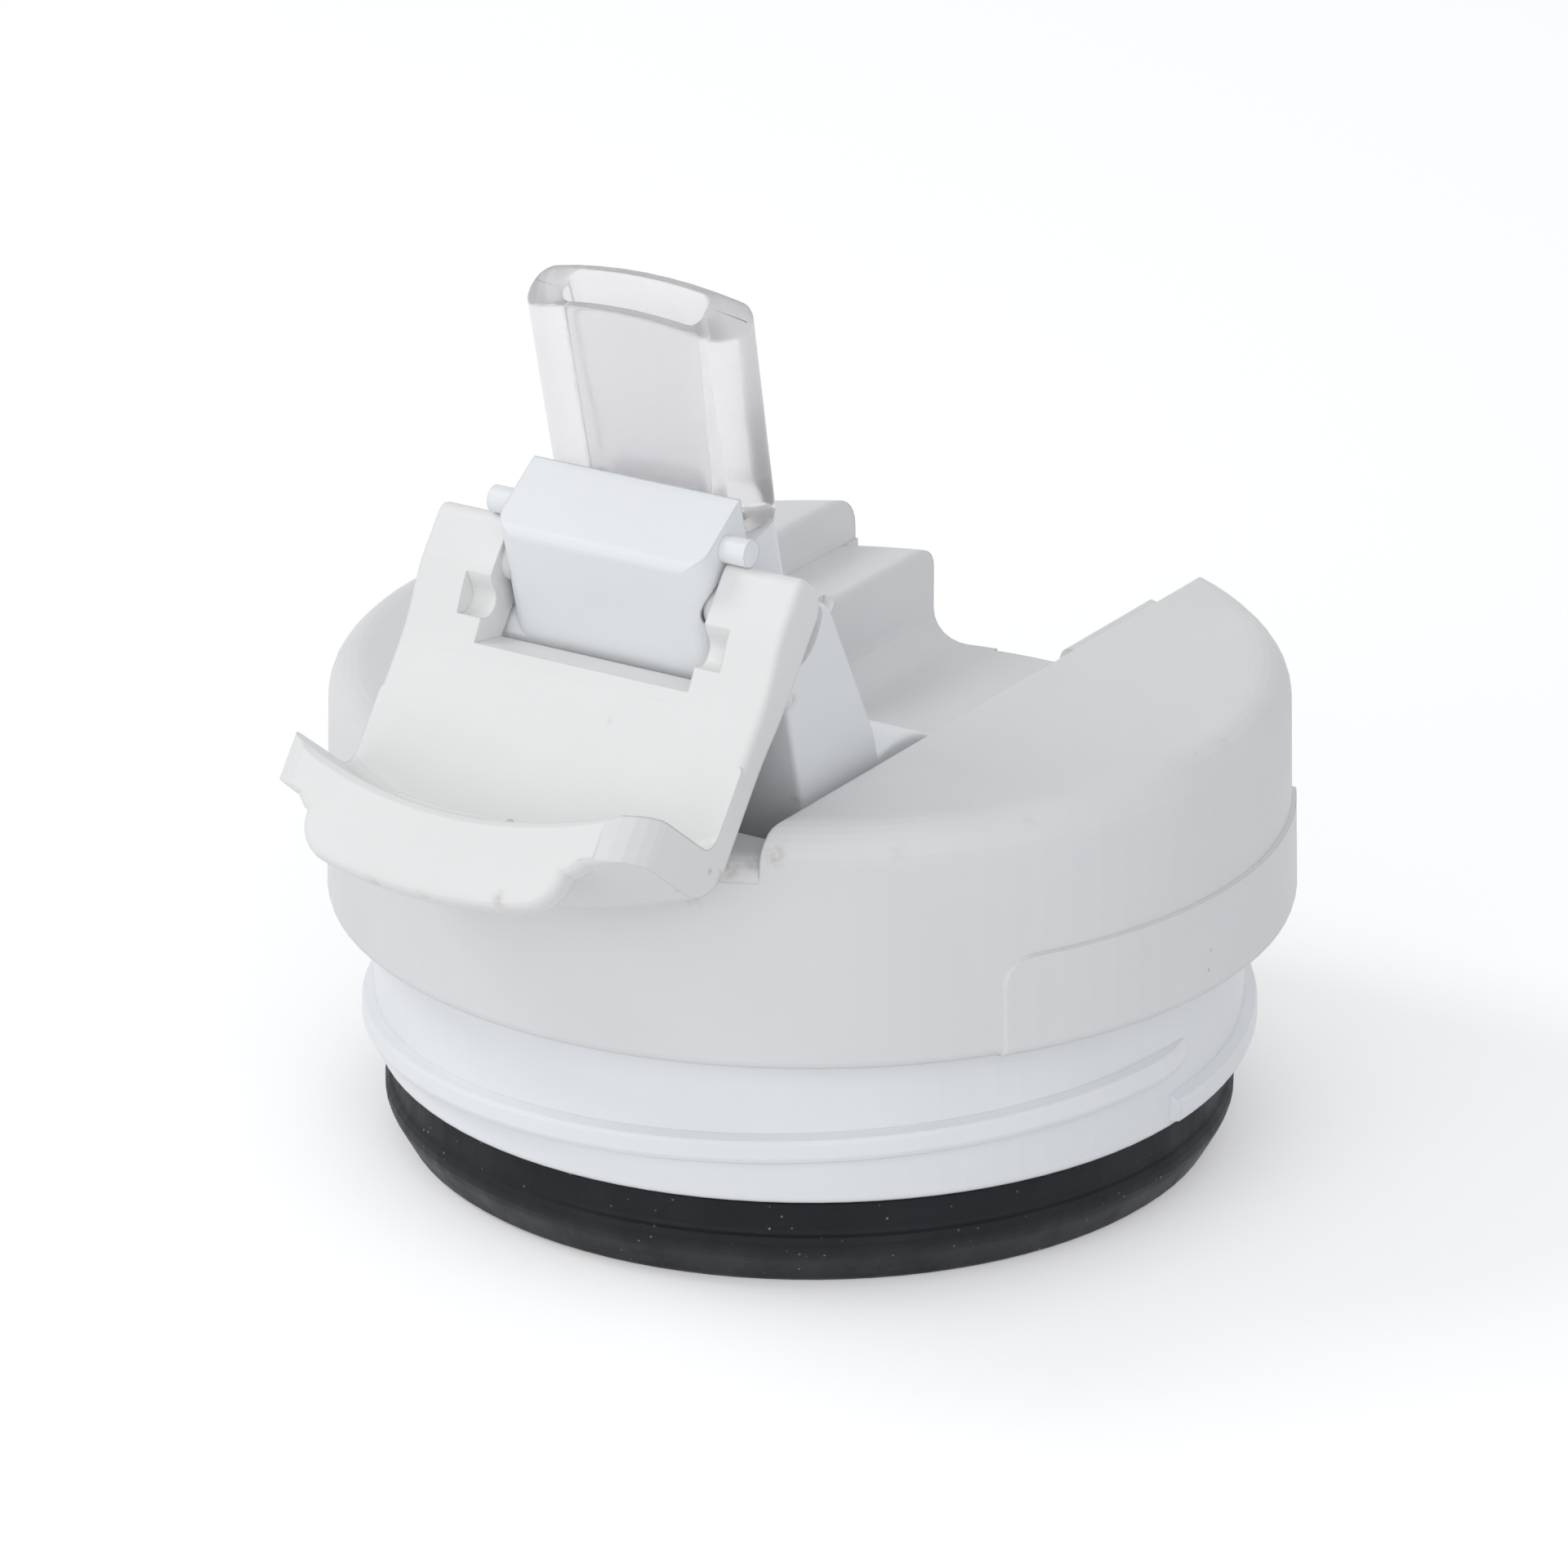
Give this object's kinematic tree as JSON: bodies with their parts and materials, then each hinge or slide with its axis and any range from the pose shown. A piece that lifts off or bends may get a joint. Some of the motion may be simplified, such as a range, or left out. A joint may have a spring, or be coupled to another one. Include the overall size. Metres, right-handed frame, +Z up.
{
  "type": "screw-in tumbler lid with folding spout",
  "caption": "Screw-in drinking lid with a flip-up spout that folds into a channel of the cap and a hinged lever that closes over it.",
  "frame": {"origin": "on the axis of the screw neck, in the plane of the underside that the lid stands on", "axes": "+Z up along the neck's axis; +Y to the back, where the spout folds to; +X to the right of someone who faces along +Y"},
  "size_m": [0.0904, 0.1082, 0.0903],
  "materials": {
    "cap_white": "satin",
    "neck_white": "satin",
    "gasket_black": "matte, dusty",
    "seal_grey": "matte",
    "spout_white": "satin",
    "clear": "clear, slightly frosted",
    "lever_white": "satin"
  },
  "bodies": {
    "lid_base": {"cap_body": "cap_white", "threaded_plug": "neck_white", "plug_gasket": "gasket_black", "seat_seal": "seal_grey"},
    "spout": {"spout_carrier": "spout_white", "mouthpiece": "clear"},
    "lever": {"flip_lever": "lever_white"}
  },
  "joints": [
    {"name": "spout_hinge", "type": "hinge", "parent": "lid_base", "child": "spout", "pos_m": [0, -0.0143, 0.0336], "axis": [1, 0, 0], "range_deg": [-104, 0]},
    {"name": "lever_hinge", "type": "hinge", "parent": "spout", "child": "lever", "pos_m": [0, -0.0314, 0.0627], "axis": [1, 0, 0], "range_deg": [-128.4, 0]}
  ]
}
